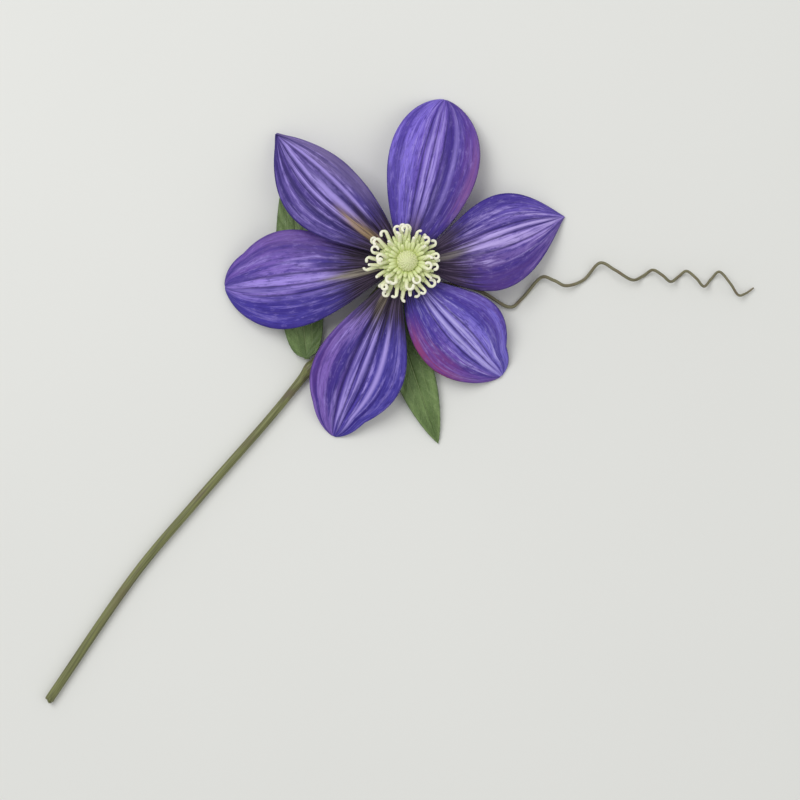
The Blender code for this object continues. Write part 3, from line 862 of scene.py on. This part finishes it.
def make_stamens(material):
    chance = random.Random(STAMEN_SEED)
    for ring in STAMEN_RINGS:
        for number in range(ring[1]):
            path = stamen_path(ring, number, chance)
            t = np.linspace(0.0, 1.0, len(path))
            stout = chance.uniform(0.88, 1.10)
            wide = stout * np.interp(t, FILAMENT_PLACES, FILAMENT_WIDTHS)
            high = stout * np.interp(t, FILAMENT_PLACES, FILAMENT_HEIGHTS)
            label = f"{ring[0]}_{number + 1:02d}"
            piece = roll_tube("filament_" + label, to_world(path), wide * MM, high * MM, 10)
            piece.data.materials.append(material)
            finish_piece(piece, "stamen", "stamen_" + label)


def join_parts(parts, name):
    """One piece made of the parts, which share a material."""
    bpy.ops.object.select_all(action="DESELECT")
    for part in parts:
        part.select_set(True)
    bpy.context.view_layer.objects.active = parts[0]
    bpy.ops.object.join()
    piece = bpy.context.object
    piece.name = name
    piece.data.name = name
    return piece


def make_filling(material):
    """Short filaments that close the gaps between the rings and the boss."""
    chance = random.Random(FILLING_SEED)
    parts = []
    for layer, (count, base_radius, reach, base_height, tip_height) in enumerate(FILLING):
        for number in range(count):
            turn = math.radians(360.0 * (number + 0.4 * layer) / count + chance.uniform(-5.0, 5.0))
            long = reach + chance.uniform(-0.7, 0.5)
            top = tip_height + chance.uniform(-0.3, 0.3)
            bend = chance.uniform(-0.5, 0.5)
            points = []
            for i in range(FILLING_STEPS + 1):
                t = i / FILLING_STEPS
                points.append((
                    base_radius + (long - base_radius) * t, bend * t * t,
                    base_height + (top - base_height) * math.sin(t * math.pi / 2),
                ))
            path = spin_points(points, turn) + BOSS_OFFSET
            t = np.linspace(0.0, 1.0, len(path))
            wide = np.interp(t, (0.0, 0.5, 0.90, 1.0), (0.54, 0.56, 0.46, 0.22)) * MM
            parts.append(roll_tube(f"short_{layer}_{number:02d}", to_world(path), wide, wide * 0.8, 8))
    for part in parts:
        part.data.materials.append(material)
    return finish_piece(join_parts(parts, "short_filaments"), "stamen")


def make_pistils(material):
    """A smooth low dome with short silky styles lying in over it."""
    chance = random.Random(STYLE_SEED)
    bpy.ops.object.select_all(action="DESELECT")
    bpy.ops.mesh.primitive_uv_sphere_add(segments=48, ring_count=24, radius=1.0)
    dome = bpy.context.object
    corners = np.empty(len(dome.data.vertices) * 3)
    dome.data.vertices.foreach_get("co", corners)
    corners = corners.reshape(-1, 3) * (BOSS_RADIUS, BOSS_RADIUS, BOSS_HEIGHT)
    corners[:, 2] += BOSS_FOOT
    set_corners(dome, to_world(corners + BOSS_OFFSET))
    parts = [dome]
    golden_turn = math.pi * (3.0 - math.sqrt(5.0))
    for i in range(STYLE_COUNT):
        share = (i + 0.5) / STYLE_COUNT
        turn = i * golden_turn
        foot = 0.15 + 1.35 * share
        points = []
        for j in range(STYLE_STEPS + 1):
            t = j / STYLE_STEPS
            angle = foot - min(0.50, foot) * t
            swell = 1.0 + 0.02 * math.sin(t * math.pi) - 0.03 * t + chance.uniform(-0.004, 0.004)
            points.append((
                BOSS_RADIUS * swell * math.sin(angle), 0.12 * t,
                BOSS_FOOT + BOSS_HEIGHT * swell * math.cos(angle),
            ))
        t = np.linspace(0.0, 1.0, len(points))
        wide = np.interp(t, (0.0, 0.5, 0.9, 1.0), (0.26, 0.24, 0.18, 0.08)) * MM
        path = to_world(spin_points(points, turn) + BOSS_OFFSET)
        parts.append(roll_tube(f"style_{i:02d}", path, wide, wide * 0.7, 8))
    for part in parts:
        part.data.materials.append(material)
    return finish_piece(join_parts(parts, "styles"), "pistil", "pistils")


# ---------------------------------------------------------------------------
# Stem and tendril
# ---------------------------------------------------------------------------

def make_stem(pattern):
    path = smooth_path(STEM, 14)
    piece = roll_tube("stalk", to_world(path[:, :3]), path[:, 3] * MM, path[:, 3] * MM, 24)
    skin = {"Along": 26.0, "Around": 4.0, "Blush": srgb(98, 84, 66), "Blush Amount": 0.7}
    piece.data.materials.append(new_material("stalk_skin", pattern, skin, 0.12, sheen=0.05))
    return finish_piece(piece, "stem", "stem")


def make_tendril(pattern):
    path = smooth_path(TENDRIL, 14)
    t = np.linspace(0.0, 1.0, len(path))
    radius = TENDRIL_THICKNESS / 2 * np.interp(t, (0.0, 0.95, 1.0), (1.1, 0.78, 0.45)) * MM
    piece = roll_tube("curl", to_world(path), radius, radius, 12)
    looks = {
        "Base": srgb(130, 126, 96), "Dark": srgb(96, 92, 68), "Blush": srgb(112, 92, 72),
        "Along": 40.0, "Around": 3.0,
    }
    piece.data.materials.append(new_material("curl_skin", pattern, looks, 0.05))
    return finish_piece(piece, "tendril", "tendril")


# ---------------------------------------------------------------------------
# Setting
# ---------------------------------------------------------------------------

def make_setting():
    bpy.ops.object.select_all(action="DESELECT")
    bpy.ops.mesh.primitive_plane_add(size=FLOOR_SIZE, location=(0.0, 0.0, 0.0))
    floor = bpy.context.object
    floor.name = "floor"
    material = bpy.data.materials.new("floor_paper")
    material.use_nodes = True
    net = Net(material.node_tree)
    shader = material.node_tree.nodes["Principled BSDF"]
    spots = net.node("ShaderNodeTexCoord").outputs["Object"]
    tone = net.mix(net.noise(spots, 6.0, 2.0), srgb(224, 225, 222), srgb(230, 231, 228))
    net.feed(shader.inputs["Base Color"], tone)
    shader.inputs["Roughness"].default_value = 0.9
    floor.data.materials.append(material)

    world = bpy.data.worlds.new("studio")
    bpy.context.scene.world = world
    world.use_nodes = True
    sky = world.node_tree.nodes["Background"]
    sky.inputs["Color"].default_value = (1.0, 0.995, 0.975, 1.0)
    sky.inputs["Strength"].default_value = SKY_STRENGTH
    for name, place, size, power in LAMPS:
        light = bpy.data.lights.new(name, "AREA")
        light.size = size
        light.energy = power
        lamp = bpy.data.objects.new(name, light)
        lamp.location = place
        lamp.rotation_euler = (-Vector(place)).to_track_quat("-Z", "Y").to_euler()
        bpy.context.scene.collection.objects.link(lamp)


def make_camera():
    """A long lens straight above the middle of the flower."""
    low, high = cad_box
    middle = (Vector(low) + Vector(high)) / 2
    span = FRAMING * max(high[0] - low[0], high[1] - low[1])
    camera = bpy.data.cameras.new("camera")
    camera.lens = LENS
    camera.sensor_width = SENSOR
    distance = span * camera.lens / camera.sensor_width
    rig = bpy.data.objects.new("camera", camera)
    rig.location = (middle.x, middle.y, distance)
    bpy.context.scene.collection.objects.link(rig)
    bpy.context.scene.camera = rig
    bpy.context.scene.view_settings.view_transform = "Standard"


def main():
    make_setting()
    make_camera()
    blades = sepal_pattern()
    for node in SEPALS:
        make_sepal(node, blades)
    foliage = leaf_pattern()
    for node in LEAVES:
        make_leaf(node, foliage)
    thread = filament_pattern()
    filament = new_material("filament_skin", thread, {}, 0.04, subsurface=0.1)
    make_stamens(filament)
    short = {"Foot": srgb(192, 205, 130), "Middle": srgb(206, 216, 146), "Tip": srgb(218, 227, 168)}
    make_filling(new_material("short_skin", thread, short, 0.04, subsurface=0.1))
    # the styles and dome pale toward the dome's top: a painted highlight
    pale_with_highlight = {
        "Foot": srgb(214, 221, 162), "Middle": srgb(222, 227, 172), "Tip": srgb(226, 230, 178),
        "Grain": srgb(206, 214, 150),
    }
    make_pistils(new_material("style_skin", thread, pale_with_highlight, 0.04, subsurface=0.1))
    stalk = stalk_pattern()
    make_stem(stalk)
    make_tendril(stalk)
    husk = {"Base": srgb(98, 92, 62), "Dark": srgb(60, 50, 46), "Along": 2.0, "Around": 3.0}
    receptacle = bpy.data.objects["receptacle"]
    receptacle.material_slots[0].material = new_material("receptacle_skin", stalk, husk, 0.1)


main()
